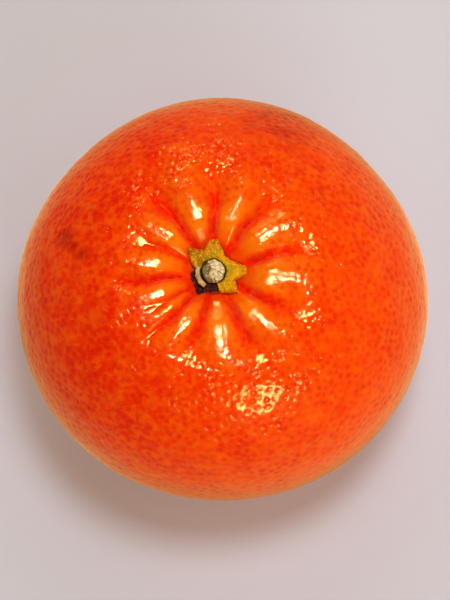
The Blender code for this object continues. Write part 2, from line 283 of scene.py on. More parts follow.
# Stage. The round lamps that make the highlights are name, place, width, brightness and colour, and those
# that light the colours are name, place, width and watts.
GLOSS_LAMPS = (
    ("Gloss overhead", (0.03, 0.05, 0.42), 0.055, 400.0, "#ffffff"),
    ("Gloss front right", (0.119, -0.283, 0.25), 0.1, 42.0, "#ffd8c8"),
    ("Gloss back", (-0.041, 0.283, 0.192), 0.065, 30.0, "#ffdc96"),
)
FILL_LAMPS = (
    ("Fill overhead", (0.03, 0.05, 0.42), 0.1, 0.6),
    ("Fill right", (0.5, 0.1, 0.3), 0.4, 0.35),
    ("Fill left", (-0.5, 0.1, 0.3), 0.4, 0.2),
    ("Fill front", (0.25, -0.43, 0.2), 0.4, 1.1),
    ("Fill back", (0.0, 0.5, 0.25), 0.4, 0.7),
)
FLOOR_SIDE = 3.0
ROOM_COLOUR = "#ffc468"
ROOM_STRENGTH = 0.4
CAMERA_ELEVATION = 80.0
CAMERA_LENS = 120.0
CAMERA_SENSOR = 36.0
CAMERA_DISTANCE = 0.3225
AIM_HEIGHT = 27.0 * MM
# Size of the photograph and the place of the fruit's middle in it, in pixels.
PHOTO_SIZE = (450.0, 600.0)
FRUIT_MIDDLE = (224.0, 298.5)


def linear(hex_colour):
    """An sRGB colour such as #e93103 as linear red, green, blue and alpha."""
    channels = [int(hex_colour[place : place + 2], 16) / 255.0 for place in (1, 3, 5)]
    return [c / 12.92 if c <= 0.04045 else ((c + 0.055) / 1.055) ** 2.4 for c in channels] + [1.0]


def size_setting(name, default, description):
    """A length that a user can change."""
    return FloatProperty(name=name, default=default, min=0.0, unit="LENGTH", description=description)


def colour_setting(name, hex_colour, description):
    """A colour that a user can change."""
    default = linear(hex_colour)
    return FloatVectorProperty(
        name=name, default=default, size=4, min=0.0, max=1.0, subtype="COLOR", description=description
    )


class PeelSettings(bpy.types.PropertyGroup):
    """The peel's relief and colours."""

    gland_spacing: size_setting("Gland spacing", 1.17 * MM, "Least distance between oil glands half way up")
    gland_depth: size_setting("Gland depth", 0.2 * MM, "How deep an oil gland pits the peel")
    ripple_height: size_setting("Ripple height", 0.55 * MM, "Height of the broad ripples in the peel")
    seed: IntProperty(name="Seed", default=11, min=0, description="Draws another scatter of glands")
    flesh_side: colour_setting("Orange", "#fa4602", "Colour of the peel between its glands")
    deep_side: colour_setting("Red orange", "#ec1c00", "Colour of the redder clouds in the peel")
    ribs: colour_setting("Ribs", "#fc6c02", "Colour of the ribs round the stem")
    # The furrows' red is partly their own colour and partly painted shade.
    furrows: colour_setting("Furrows", "#ee1c00", "Colour of the furrows round the stem")
    glands: colour_setting("Glands", "#da1800", "Colour of the oil glands")


class StemEndSettings(bpy.types.PropertyGroup):
    """The colours of the calyx and the stub of the stem."""

    calyx_green: colour_setting("Calyx green", "#b09410", "Colour of the greener parts of the calyx")
    calyx_yellow: colour_setting("Calyx yellow", "#eca60a", "Colour of the yellower parts of the calyx")
    dry_wood: colour_setting("Dry wood", "#ead9a2", "Colour of the broken end of the stem")
    # The pocket's nearly black colour is partly decay and partly painted shadow.
    decay_and_shadow: colour_setting("Decay and shadow", "#1e0602", "Colour of the pocket where a lobe tore away")


class StageSettings(bpy.types.PropertyGroup):
    """The floor and the light."""

    floor: colour_setting("Floor", "#ccd8ee", "Colour of the floor")
    key_power: FloatProperty(
        name="Light", default=1.0, min=0.0, description="Brightness of the lamps, where 1 is as photographed"
    )


def smooth_step(value, low, high):
    """0 up to low, 1 from high, and a smooth rise between them."""
    share = np.clip((value - low) / (high - low), 0.0, 1.0)
    return share * share * (3.0 - 2.0 * share)


def between(value, begin, full, ending, end):
    """0 up to begin and from end, 1 from full to ending, and smooth between them."""
    return smooth_step(value, begin, full) * (1.0 - smooth_step(value, ending, end))


def turned_from(angle, degrees):
    """The angle from one in degrees to one in radians, in radians from -pi to pi."""
    return (angle - math.radians(degrees) + math.pi) % (2.0 * math.pi) - math.pi


def half_width_at(angle):
    """Distance from the fruit's axis to its side at an angle."""
    across = np.hypot(HALF_WIDTH_Y * np.cos(angle), HALF_WIDTH_X * np.sin(angle))
    half_width = HALF_WIDTH_X * HALF_WIDTH_Y / across
    for centre, breadth, height in OUTLINE_SWELLS:
        off = turned_from(angle, centre) / math.radians(breadth)
        half_width = half_width + height * np.exp(-off * off)
    return half_width


def bowl(radius, depth, floor, edge):
    """Depth of a round bowl, which is full out to its floor's radius and runs out at its edge."""
    return depth * (1.0 - smooth_step(radius, floor, edge))


def hollow(radius):
    """Height of the hollow above the plain shoulder, without furrows."""
    return -sum(bowl(radius, *basin) for basin in BASINS)


def pleats(radius, angle):
    """Depth of the pleats beside the stem, and how far each point belongs to a rib and to a furrow's line."""
    centre, depth, reach = np.array(FURROWS + FURROWS[:1]).T * [[1.0], [MM], [MM]]
    starts = np.radians(centre - centre[0])
    starts[-1] = 2.0 * math.pi
    wander = math.radians(FURROW_WANDER) * smooth_step(radius, FURROW_START, FURROW_SOFTENS[1])
    angle = angle + wander * np.sin(radius / FURROW_WANDER_LENGTH + 2.0 * angle)
    turned = (angle - math.radians(centre[0])) % (2.0 * math.pi)
    before = np.clip(np.searchsorted(starts, turned, side="right") - 1, 0, len(FURROWS) - 1)
    span = starts[before + 1] - starts[before]
    share = (turned - starts[before]) / span
    rib = 1.0 - np.abs(1.0 - 2.0 * share) ** RIB_FULLNESS
    narrow = 1.0 + FURROW_ROUNDING - np.hypot(rib, FURROW_ROUNDING)
    wide = 0.5 + 0.5 * np.cos(2.0 * math.pi * share)
    valley = narrow + (wide - narrow) * smooth_step(radius, *FURROW_SOFTENS)
    deepest, furthest = (row[before] + (row[before + 1] - row[before]) * share for row in (depth, reach))
    begins = smooth_step(radius, FURROW_START, FURROW_FULL)
    sets_in = smooth_step(radius, FURROW_START, FURROW_START + FURROW_LINE_SETS_IN)
    fades = 1.0 - smooth_step(radius, FURROW_FADES_FROM * furthest, furthest)
    nearer = share > 0.5
    off = radius * span * np.where(nearer, 1.0 - share, share)
    spread = off / (FURROW_LINE + FURROW_LINE_SPREAD * radius)
    own = np.where(nearer, depth[before + 1], depth[before]) / FURROW_DEEPEST
    line = np.exp(-spread * spread) * np.sqrt(own) * sets_in * fades
    return deepest * valley * (begins * fades), rib * fades * smooth_step(radius, *RIBS_TURN_ORANGE), line


def torn_pocket(radius, angle):
    """Depth of the pocket that the torn lobe has left."""
    degrees, out, breadth, depth = TORN_POCKET
    turned = turned_from(angle, degrees)
    across = radius * np.sin(turned)
    along = radius * np.cos(turned) - out
    return depth * np.exp(-(across**2 + along**2) / breadth**2)


def lobe_reach(angle, lobes):
    """How far a star of lobes reaches from the stem's axis at an angle."""
    reach = np.full_like(angle, CALYX_CORE_RADIUS)
    for centre, tip, clockwise, anticlockwise, flat in lobes:
        off = turned_from(angle, centre)
        share = np.abs(off) / np.radians(np.where(off < 0.0, clockwise, anticlockwise))
        lobe = np.clip((1.0 - share) / (1.0 - flat), 0.0, 1.0) ** LOBE_SHARPNESS
        reach = np.maximum(reach, CALYX_CORE_RADIUS + (tip - CALYX_CORE_RADIUS) * lobe)
    return reach


def bed_height(radius, angle):
    """Height over the fruit's middle of the surface that the calyx and the stub lie on."""
    share = (radius / half_width_at(angle)) ** SHOULDER_POWER
    shoulder = RISE_TO_STEM * (1.0 - share) ** (1.0 / SHOULDER_POWER)
    return shoulder + hollow(radius) + GROWN_GAP


def leaned(points):
    """Points about the fruit's middle, moved as its axis leans."""
    return points + points[:, 2:] / RISE_TO_STEM * np.array([STEM_LEAN])


def standing(points):
    """Points about the fruit's middle, moved to where the solids stand."""
    return leaned(points) + FORM_SHIFT


def plain_body(directions):
    """Where the body without its hollow and dimple lies in each direction, and each point's polar place."""
    level = np.hypot(directions[:, 0], directions[:, 1])
    upward = directions[:, 2]
    angle = np.arctan2(directions[:, 1], directions[:, 0])
    half_height = np.where(upward > 0.0, RISE_TO_STEM, DROP_TO_BLOSSOM)
    inverse = (level / half_width_at(angle)) ** SHOULDER_POWER
    inverse += (np.abs(upward) / half_height) ** SHOULDER_POWER
    points = directions * (inverse ** (-1.0 / SHOULDER_POWER))[:, None]
    return points, np.hypot(points[:, 0], points[:, 1]), angle


def middle_shift():
    """From the fruit's middle, about which its form is worked out, to its place in the frame."""
    around = np.linspace(-math.pi, math.pi, OUTLINE_TRIES, endpoint=False)
    low, high = np.array(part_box("fruit"))
    sides = []
    for height in np.linspace(*OUTLINE_RISES):
        flat = np.stack([np.cos(around), np.sin(around), np.full_like(around, height)], axis=1)
        sides.append(leaned(plain_body(flat)[0]))
    sides = np.vstack(sides)
    middle = 0.5 * (sides.min(axis=0) + sides.max(axis=0))
    shift = 0.5 * (low + high) - middle
    shift[2] = low[2] + DROP_TO_BLOSSOM - FOOT_FLATTENING
    return shift[None, :]


FORM_SHIFT = middle_shift()


def add_node(tree, kind, inputs=None, output=0, **settings):
    """Adds a node with its settings, sets or links its inputs, and gives one of its outputs."""
    node = tree.nodes.new(kind)
    for name, value in settings.items():
        setattr(node, name, value)
    for name, value in (inputs or {}).items():
        if isinstance(value, bpy.types.NodeSocket):
            tree.links.new(value, node.inputs[name])
        else:
            node.inputs[name].default_value = value
    return node.outputs[output] if node.outputs else None


def new_geometry_tree(name, sockets):
    """A Geometry Nodes tree with a mesh in and out and named inputs, and what its inputs give.

    An input is a name, a type and a default.
    """
    tree = bpy.data.node_groups.new(name, "GeometryNodeTree")
    tree.interface.new_socket("Mesh", in_out="INPUT", socket_type="NodeSocketGeometry")
    for label, kind, default in sockets:
        socket = tree.interface.new_socket(label, in_out="INPUT", socket_type="NodeSocket" + kind)
        if default is not None:
            socket.default_value = default
    tree.interface.new_socket("Mesh", in_out="OUTPUT", socket_type="NodeSocketGeometry")
    return tree, add_node(tree, "NodeGroupInput").node.outputs


def finish_tree(tree, mesh, finishes):
    """Ends a tree in real geometry with its materials, each with the faces that it goes on."""
    dressed = add_node(tree, "GeometryNodeRealizeInstances", {"Geometry": mesh})
    for finish, faces in finishes:
        inputs = {"Geometry": dressed, "Selection": faces, "Material": finish}
        dressed = add_node(tree, "GeometryNodeSetMaterial", inputs)
    add_node(tree, "NodeGroupOutput", {0: dressed})


def add_object(name, data):
    """A new object in the scene."""
    made = bpy.data.objects.new(name, data)
    bpy.context.scene.collection.objects.link(made)
    return made


def mesh_from(shell, name):
    """A mesh made from a bmesh, which isn't needed any more."""
    mesh = bpy.data.meshes.new(name)
    shell.to_mesh(mesh)
    shell.free()
    return mesh


def mesh_through_tree(mesh, tree, values):
    """The plain mesh that a tree makes from a mesh, with its named inputs set to values."""
    carrier = add_object("carrier", mesh)
    modifier = carrier.modifiers.new(tree.name, "NODES")
    modifier.node_group = tree
    for item in tree.interface.items_tree:
        if item.in_out == "INPUT" and item.name in values:
            modifier[item.identifier] = values[item.name]
    depsgraph = bpy.context.evaluated_depsgraph_get()
    made = bpy.data.meshes.new_from_object(
        carrier.evaluated_get(depsgraph), preserve_all_data_layers=True, depsgraph=depsgraph
    )
    bpy.data.objects.remove(carrier)
    return made


def vertices_of(mesh):
    """The mesh's points as an array."""
    flat = np.empty(len(mesh.vertices) * 3)
    mesh.vertices.foreach_get("co", flat)
    return flat.reshape(-1, 3)


def store_on_points(mesh, name, values):
    """Stores one number per point of the mesh, for a tree or a material to read."""
    layer = mesh.attributes.new(name, "FLOAT", "POINT")
    layer.data.foreach_set("value", np.asarray(values, dtype=np.float32))


def add_piece(name, mesh, node):
    """A finished piece that takes the place of a solid."""
    mesh.name = name
    mesh.shade_smooth()
    piece = add_object(name, mesh)
    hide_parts(node)
    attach(piece, "root")


def gland_net_tree():
    """A unit sphere of triangles whose corners are scattered glands."""
    sockets = (
        ("Least spacing", "Float", 0.036),
        ("Points tried", "Float", 6000.0),
        ("Seed", "Int", 0),
        ("Finish", "Material", None),
    )
    tree, given = new_geometry_tree("Gland net", sockets)
    inputs = {"Mesh": given["Mesh"], "Seed": given["Seed"]}
    inputs.update({"Distance Min": given["Least spacing"], "Density Max": given["Points tried"]})
    scatter = add_node(
        tree, "GeometryNodeDistributePointsOnFaces", inputs, "Points", distribute_method="POISSON"
    )
    place = add_node(tree, "GeometryNodeInputPosition")
    outwards = add_node(tree, "ShaderNodeVectorMath", {0: place}, operation="NORMALIZE")
    glands = add_node(tree, "GeometryNodeSetPosition", {"Geometry": scatter, "Position": outwards})
    hull = add_node(tree, "GeometryNodeConvexHull", {"Geometry": glands})
    whole = add_node(tree, "GeometryNodeTriangulate", {"Mesh": hull})
    finish_tree(tree, whole, ((given["Finish"], True),))
    return tree


def peel_relief_tree():
    """Presses the glands into the peel and ripples it, along its normals."""
    sockets = (
        ("Gland depth", "Float", 0.15 * MM),
        ("Ripple height", "Float", 0.1 * MM),
        ("Ripple width", "Float", 5.0 * MM),
        ("Finish", "Material", None),
        ("Torn finish", "Material", None),
    )
    tree, given = new_geometry_tree("Peel relief", sockets)
    read = {}
    for name in ("pit", "smooth", "crease", "torn"):
        read[name] = add_node(tree, "GeometryNodeInputNamedAttribute", {"Name": name}, data_type="FLOAT")
    place = add_node(tree, "GeometryNodeInputPosition")
    turns = add_node(tree, "ShaderNodeMath", {0: 1.0, 1: given["Ripple width"]}, operation="DIVIDE")
    pattern = {"Vector": place, "Scale": turns, "Detail": 2.0, "Roughness": 0.5}
    rise = add_node(tree, "ShaderNodeTexNoise", pattern)
    sunk = add_node(tree, "ShaderNodeMath", {0: read["pit"], 1: given["Gland depth"]}, operation="MULTIPLY")
    for operation, other in (
        ("SUBTRACT", RIPPLE_LEVEL),
        ("MULTIPLY", given["Ripple height"]),
        ("MULTIPLY", read["smooth"]),
        ("SUBTRACT", sunk),
        ("ADD", read["crease"]),
    ):
        rise = add_node(tree, "ShaderNodeMath", {0: rise, 1: other}, operation=operation)
    outwards = add_node(tree, "GeometryNodeInputNormal")
    offset = add_node(tree, "ShaderNodeVectorMath", {0: outwards, "Scale": rise}, operation="SCALE")
    moved = add_node(tree, "ShaderNodeVectorMath", {0: place, 1: offset}, operation="ADD")
    on_floor = add_node(tree, "ShaderNodeVectorMath", {0: moved, 1: FLOOR_CORNER}, operation="MAXIMUM")
    pressed = add_node(tree, "GeometryNodeSetPosition", {"Geometry": given["Mesh"], "Position": on_floor})
    inputs = {0: read["torn"], 1: TORN_FINISH_FROM}
    torn = add_node(tree, "ShaderNodeMath", inputs, operation="GREATER_THAN")
    finish_tree(tree, pressed, ((given["Finish"], True), (given["Torn finish"], torn)))
    return tree


def cut_finer(mesh):
    """Cuts the triangles of a net on the unit sphere into smaller ones on it."""
    net = bmesh.new()
    net.from_mesh(mesh)
    bmesh.ops.subdivide_edges(net, edges=net.edges, cuts=NET_CUTS, use_grid_fill=True)
    for point in net.verts:
        point.co.normalize()
    net.to_mesh(mesh)
    net.free()


def nearest_glands(mesh, glands, spacing, seed):
    """How many spacings each point is from its nearest gland, and a number drawn for that gland."""
    finder = kdtree.KDTree(len(glands))
    for index, gland in enumerate(glands):
        finder.insert(gland, index)
    finder.balance()
    nearest = [finder.find(point) for point in vertices_of(mesh)]
    drawn = np.random.default_rng(seed).random(len(glands))
    away = np.array([distance / spacing for _, _, distance in nearest])
    return away, drawn[[index for _, index, _ in nearest]]


def crowded_towards_stem(directions):
    """Directions drawn together at the stem end, where the real glands are smaller."""
    from_stem = np.arccos(np.clip(directions[:, 2], -1.0, 1.0))
    nearer = from_stem - CROWDING_AT_STEM * np.sin(from_stem) - CROWDING_AT_ENDS * np.sin(2.0 * from_stem)
    angle = np.arctan2(directions[:, 1], directions[:, 0])
    level = np.sin(nearer)
    return np.stack([level * np.cos(angle), level * np.sin(angle), np.cos(nearer)], axis=1)


def sizes_from(placed, x, y, size):
    """How many sizes points lie from a place in millimetres, as seen from above."""
    return np.hypot(placed[:, 0] / MM - x, placed[:, 1] / MM - y) / size


def shape_peel(mesh, away, drawn):
    """Gives the net the fruit's form, and stores on its points what its relief and its material read.

    Away is each point's distance from its gland in spacings, and drawn is that gland's number.
    """
    directions = vertices_of(mesh)
    directions = crowded_towards_stem(directions / np.linalg.norm(directions, axis=1)[:, None])
    points, radius, angle = plain_body(directions)
    top = directions[:, 2] > 0.0
    pleat, crest, line = pleats(radius, angle)
    points[:, 2] += np.where(top, hollow(radius) - pleat - torn_pocket(radius, angle), 0.0)
    foot = np.maximum(points[:, 2], FOOT_FLATTENING - DROP_TO_BLOSSOM)
    foot = foot + bowl(radius, *DIMPLE) - bowl(radius, *SCAR)
    points[:, 2] = np.where(top, points[:, 2], foot)
    placed = standing(points)
    for x, y, size, depth in DENTS:
        off = sizes_from(placed, x, y, size)
        placed[:, 2] -= depth * MM * np.exp(-off * off) * top
    mesh.vertices.foreach_set("co", placed.ravel())

    height = points[:, 2]
    on_top = smooth_step(radius, *GLAND_FREE_BASIN)
    on_foot = smooth_step(radius, *GLAND_FREE_FOOT)
    side = 1.0 - smooth_step(height, *SIDE_HEIGHTS)
    smoothed = 1.0 - SIDE_SMOOTHING * side
    pitted = (1.0 - smooth_step(away, 0.0, PIT_RADIUS)) * (np.where(top, on_top, on_foot) * smoothed)
    steep = on_top * smooth_step(height, *STEEP_GLAND_HEIGHTS)
    twist = radius / MM * CREASE_TWIST
    creased = sum(crease * np.sin(count * angle + start + twist) for count, crease, start in CREASES)
    # Painted shadow of the calyx on the peel beside its edge.
    beside = 1.0 - smooth_step(radius - lobe_reach(angle, CALYX_LOBES), 0.0, CALYX_PAINTED_SHADOW)
    torn = np.clip((lobe_reach(angle, TORN_BED) - radius) / MM, -1.0, 1.0)
    marks = {
        "gland_rim": away / (GLAND_WIDTH[0] + GLAND_WIDTH[1] * drawn),
        "gland_seen": np.where(top, smooth_step(radius, *GLANDS_SEEN), 1.0),
        "gland_sunk": steep * (GLAND_WALL[0] + GLAND_WALL[1] * drawn**GLAND_WALL_POWER),
        "pit": pitted * (PIT_DEPTH[0] + PIT_DEPTH[1] * drawn),
        "hollow": (1.0 - on_top) * top,
        "pleat_ends": between(radius, *PLEAT_ENDS) * top,
        "smooth": np.where(top, smooth_step(radius, *RIPPLE_FREE_BASIN), on_foot) * smoothed,
        "side": side,
        "crease": creased * between(radius, *CREASE_ZONE) * top,
        "furrow": line * top,
        "crest": crest * top,
        "calyx_painted_shadow": bowl(radius, beside, *NOTCHES) * top,
        "torn": np.where(top, torn, -1.0),
        "scar": bowl(radius, 1.0, *SCAR_FADES) * ~top,
    }
    lower = BLEMISHES_END * (1.0 - smooth_step(height, *BLEMISHES_RUN_OUT))
    for name, spots in BLEMISHES.items():
        marks[name] = np.min([sizes_from(placed, *spot) for spot in spots], axis=0) + lower
    for name, values in marks.items():
        store_on_points(mesh, name, values)
    mesh.update()


def new_material(name, values):
    """A node material with some of its shader's values set: the material, its tree and its shader."""
    made = bpy.data.materials.new(name)
    made.use_nodes = True
    shader = made.node_tree.nodes["Principled BSDF"]
    for socket, value in values.items():
        shader.inputs[socket].default_value = value
    return made, made.node_tree, shader


def read_surface(tree, marks, clouds):
    """What a look is worked out from: the marks stored on a piece's points, and clouds of noise.

    A cloud is a name, millimetres across one cloud, detail, roughness and distortion.
    """
    read = {"place": add_node(tree, "ShaderNodeTexCoord", {}, "Object")}
    for name in marks:
        read[name] = add_node(tree, "ShaderNodeAttribute", {}, "Fac", attribute_name=name)
    for name, size, detail, rough, warp in clouds:
        pattern = {"Scale": 1.0 / (size * MM), "Detail": detail, "Roughness": rough, "Distortion": warp}
        read[name] = add_node(tree, "ShaderNodeTexNoise", {"Vector": read["place"], **pattern})
    return read


def lay_colours(tree, shader, read, shares, joined, stacks):
    """Lays stacks of colours on the shader's sockets, sets its roughness, and gives all shares.

    A share is a name, what it is read from, where it starts and is full, and its least and most unless they
    are 0 and 1. A joined share is a name, two others or one and a number, and what joins them unless they are
    multiplied. A stack is a socket, the colour at its bottom, and its layers as a share and a colour.
    """
    share = dict(read)
    for name, source, start, full, *limits in shares:
        least, most = limits or (0.0, 1.0)
        inputs = {"Value": read[source], "From Min": start, "From Max": full, "To Min": least, "To Max": most}
        share[name] = add_node(tree, "ShaderNodeMapRange", inputs, interpolation_type="SMOOTHSTEP")
    for name, first, second, *joins in joined:
        inputs = {0: share[first], 1: share.get(second, second)}
        operation = joins[0] if joins else "MULTIPLY"
        share[name] = add_node(tree, "ShaderNodeMath", inputs, operation=operation)
    for socket, colour, layers in stacks:
        for name, over in layers:
            inputs = {0: share[name], 6: colour, 7: over}
            colour = add_node(tree, "ShaderNodeMix", inputs, 2, data_type="RGBA")
        tree.links.new(colour, shader.inputs[socket])
    tree.links.new(share["rough"], shader.inputs["Roughness"])
    return share


def raise_surface(tree, shader, height, strength, step):
    """Lets light fall on the surface as on a relief, where a height of 1 is step millimetres."""
    bump = add_node(tree, "ShaderNodeBump", {"Strength": strength, "Distance": step * MM, "Height": height})
    tree.links.new(bump, shader.inputs["Normal"])


RIND_MARKS = ("gland_rim", "gland_seen", "gland_sunk", "hollow", "crest", "pleat_ends", "furrow", "side")
RIND_MARKS += ("calyx_painted_shadow", "torn", "scar", "bruise", "blush", "ring")
# Peel that has ripened alike, stronger and weaker glands, the shine, the streaks of the blush, blotches and
# mottled ribs, the speckles of a bruise, what frays a gland and a torn edge, and the fine waves of the wax.
RIND_CLOUDS = (
    ("ripe", 7.0, 5.0, 0.75, 0.0),
    ("glands", 5.0, 3.0, 0.7, 0.0),
    ("shine", 3.0, 2.0, 0.5, 0.0),
    ("streaks", 2.6, 4.0, 0.68, 0.7),
    ("blotches", 2.0, 3.0, 0.65, 0.5),
    ("speckle", 1.3, 3.0, 0.6, 0.0),
    ("fray", 0.9, 3.0, 0.6, 0.0),
    ("waves", 1.0, 4.0, 0.62, 0.0),
)
# Way across the fruit towards its more orange side, where its wax is less calm.
ORANGE_WAY = (0.95, -0.2, 0.0)
RIND_SHARES = (
    ("ripe", "ripe", 0.36, 0.64, 0.0, 0.7),
    ("orange side", "towards", -24.0 * MM, 24.0 * MM, -0.1, 0.6),
    ("low", "side", 0.0, 1.0, 0.0, 0.35),
    ("crest", "crest", 0.0, 0.72, 0.0, 0.95),
    ("mottle", "blotches", 0.36, 0.6, 0.45, 1.0),
    ("painted highlight", "crest", 0.62, 1.0, 0.0, 0.45),
    ("furrow", "furrow", 0.05, 0.85, 0.0, 0.9),
    ("net", "gland", 0.45, 1.0, 0.0, 0.25),
    ("blotches", "blotches", 0.45, 0.65, 0.0, 0.42),
    ("dot", "gland", 0.62, 0.05),
    ("tone", "glands", 0.35, 0.65, 0.1, 0.58),
    ("speckle", "speckle", 0.3, 0.6, 0.3, 0.8),
    ("streaks", "streaks", 0.36, 0.62, 0.05, 0.75),
    ("bruise", "bruise", 1.8, 0.2),
    ("blush", "blush", 1.7, 0.2),
    ("ring outside", "ring", 1.25, 0.75, 0.0, 0.6),
    ("ring inside", "ring", 0.4, 0.7),
    ("calyx painted shadow", "calyx_painted_shadow", 0.0, 1.0, 0.0, 0.85),
    ("browned", "torn", -0.25, 0.1),
    ("decayed", "torn", 0.0, 0.2),
    ("shine", "shine", 0.3, 0.7, 0.1, 0.17),
    ("pale glint", "hollow", 0.1, 0.5),
    ("pit glint", "gland", 0.6, 0.3, 0.0, 0.7),
    ("orange glint", "furrow", 0.02, 0.2),
    ("red glint", "furrow", 0.2, 0.5),
    ("wall", "gland", 0.15, 0.6, 0.0, 0.35),
    ("swell", "crest", 0.2, 0.9, 0.3, 1.5),
    ("ends swell", "pleat_ends", 0.0, 1.0, 0.0, 0.95),
    ("calm side", "towards", -20.0 * MM, 8.0 * MM, 0.5, 1.0),
)
RIND_JOINED = (
    ("ripe", "ripe", "orange side", "ADD"),
    ("crest", "crest", "mottle"),
    ("dot", "dot", "gland_seen"),
    ("dot", "dot", "tone"),
    ("bruise", "bruise", "speckle"),
    ("blush", "blush", "streaks"),
    ("ring", "ring outside", "ring inside"),
    ("spoiled", "decayed", "scar", "MAXIMUM"),
    ("dry", "spoiled", 0.7),
    ("rough", "shine", "dry", "ADD"),
    ("wall", "wall", "gland_sunk"),
    ("swell", "swell", "ends swell", "MAXIMUM"),
    ("swell", "swell", "calm side"),
    ("waves", "waves", "swell"),
    ("relief", "wall", "waves", "ADD"),
)


def citrus_rind(settings):
    """Ripe mandarin rind as it grew, under its own wax.

    The wax gives hard highlights, nearly white on the ribs and golden on the net between the glands, and a
    pale band at the rim, helped by a painted glow of paler orange on the sides. A golden halo of reflected
    light is painted round the highlights on the ribs. The oil glands under it show as soft darker red dots.
    """
    glow = {"IOR": 1.45, "Sheen Weight": 1.0, "Sheen Roughness": 0.36, "Sheen Tint": linear("#ffc690")}
    made, tree, shader = new_material("Citrus rind", glow)
    read = read_surface(tree, RIND_MARKS, RIND_CLOUDS)
    inputs = {0: read["place"], 1: ORANGE_WAY}
    read["towards"] = add_node(tree, "ShaderNodeVectorMath", inputs, "Value", operation="DOT_PRODUCT")
    off_middle = add_node(tree, "ShaderNodeMath", {0: read["fray"], 1: 0.5}, operation="SUBTRACT")
    frayed = add_node(tree, "ShaderNodeMath", {0: off_middle, 1: GLAND_FRAYING}, operation="MULTIPLY")
    read["gland"] = add_node(tree, "ShaderNodeMath", {0: read["gland_rim"], 1: frayed}, operation="ADD")
    read["torn"] = add_node(tree, "ShaderNodeMath", {0: read["torn"], 1: off_middle}, operation="ADD")
    decay_and_shadow = bpy.context.scene.mandarin_stem_end.decay_and_shadow
    layers = (
        ("ripe", settings.flesh_side),
        # The sides are painted a paler orange, a painted glow for the light at the rim.
        ("low", linear("#ff7a20")),
        ("crest", settings.ribs),
        # A golden halo of reflected light painted round the highlights on the ribs.
        ("painted highlight", linear("#ff9a0a")),
        # The furrows' redder line is partly painted shade.
        ("furrow", settings.furrows),
        ("net", settings.ribs),
        ("blotches", settings.ribs),
        ("dot", settings.glands),
        ("bruise", linear("#b00000")),
        ("blush", linear("#b01010")),
        ("ring", linear("#c98a58")),
        # Painted shadow of the calyx on the peel.
        ("calyx painted shadow", linear("#7c1200")),
        ("browned", linear("#9c2a06")),
        # The decay colour, partly painted shadow, fills the torn pocket and also tints the scar.
        ("decayed", decay_and_shadow),
        ("spoiled", decay_and_shadow),
    )
    # The wax lends its own colour to what it mirrors: nearly white where it is thin on the ribs, and red
    # where the light goes to and fro in a furrow.
    glints = (
        ("pale glint", linear("#ffe4a8")),
        ("pit glint", linear("#ff7410")),
        ("orange glint", linear("#ffa858")),
        ("red glint", linear("#ff1c00")),
    )
    stacks = ("Base Color", settings.deep_side, layers), ("Specular Tint", linear("#ffc878"), glints)
    share = lay_colours(tree, shader, read, RIND_SHARES, RIND_JOINED, stacks)
    raise_surface(tree, shader, share["relief"], 1.0, 0.09)
    return made


def dried_tissue(settings):
    """Dried brown tissue, torn open where a lobe came away.

    It is matt, dark and crumbly, with rusty and a few pale crumbs, so it hardly mirrors anything. Its nearly
    black colour is partly painted shadow of the pocket.
    """
    matt = {"Roughness": 0.9, "IOR": 1.45, "Specular IOR Level": 0.1}
    made, tree, shader = new_material("Dried torn tissue in painted shadow", matt)
    crumbs = read_surface(tree, (), (("crumbs", 0.5, 4.0, 0.7, 0.0),))["crumbs"]
    colour = settings.decay_and_shadow
    for start, full, over in ((0.46, 0.58, "#55180a"), (0.6, 0.66, "#8c5a34"), (0.67, 0.7, "#d8c4a0")):
        share = add_node(tree, "ShaderNodeMapRange", {"Value": crumbs, "From Min": start, "From Max": full})
        inputs = {0: share, 6: colour, 7: linear(over)}
        colour = add_node(tree, "ShaderNodeMix", inputs, 2, data_type="RGBA")
    tree.links.new(colour, shader.inputs["Base Color"])
    raise_surface(tree, shader, crumbs, 1.0, 0.1)
    return made


